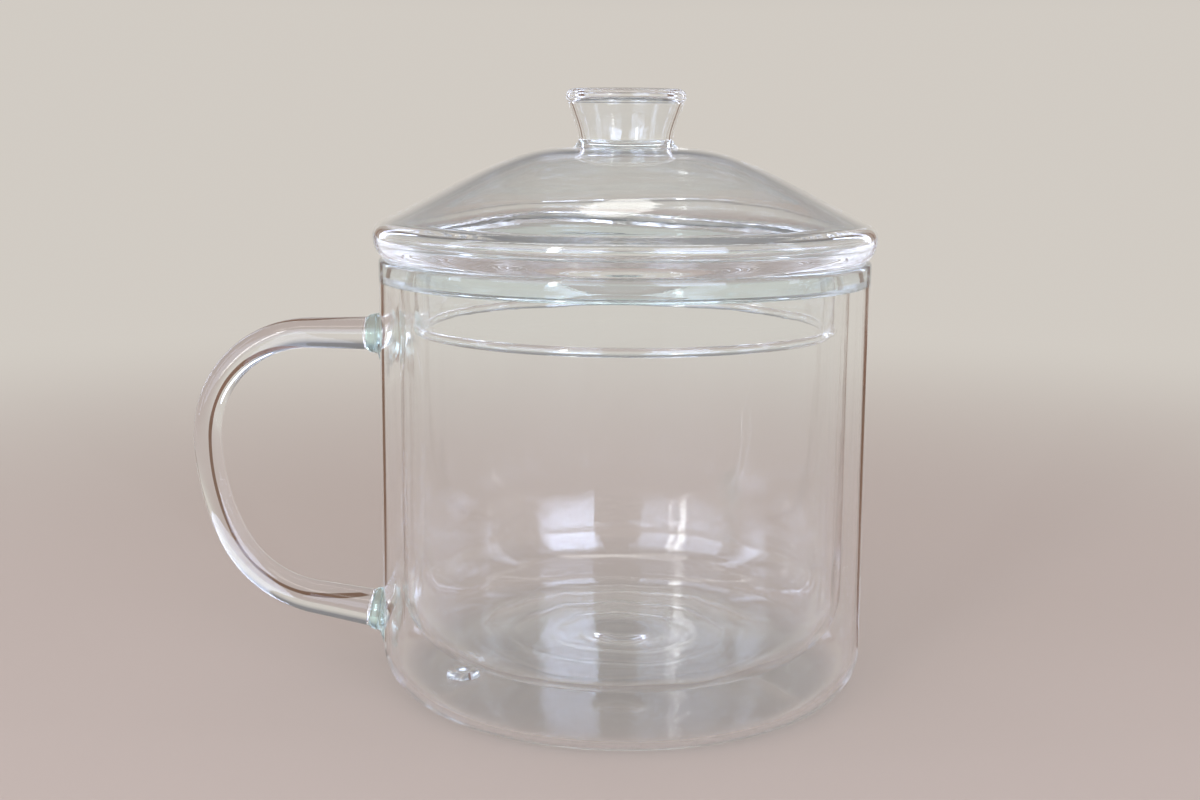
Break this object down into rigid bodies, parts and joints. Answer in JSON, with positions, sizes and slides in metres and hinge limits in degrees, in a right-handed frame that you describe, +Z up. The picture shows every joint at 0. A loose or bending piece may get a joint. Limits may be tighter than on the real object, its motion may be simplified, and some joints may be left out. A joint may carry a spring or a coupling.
{
  "type": "lidded glass mug",
  "caption": "Clear double-walled glass mug with a looped rod handle and a loose domed lid with a hollow knob, for hot or cold drinks.",
  "frame": {"origin": "centre of the base on the surface that the mug stands on", "axes": "+Z up along the mug's axis, handle towards -X, +Y to the far side when the handle is on the left"},
  "size_m": [0.1409, 0.1022, 0.1233],
  "materials": {
    "thin_glass": "clear blown glass, flame polished",
    "thick_glass": "clear solid glass, faintly green-blue through its depth"
  },
  "bodies": {
    "mug": {"outer_shell": "thin_glass", "inner_cup": "thin_glass", "rim_bead": "thick_glass", "vent_seal": "thick_glass", "handle_rod": "thick_glass", "upper_handle_weld": "thick_glass", "lower_handle_weld": "thick_glass"},
    "lid": {"lid_dome": "thin_glass", "lid_skirt": "thin_glass", "lid_knob": "thin_glass", "knob_weld": "thick_glass"}
  },
  "joints": [
    {"name": "lid_lift", "type": "slide", "parent": "mug", "child": "lid", "axis": [0, 0, 1], "range_m": [0, 0.08]}
  ]
}
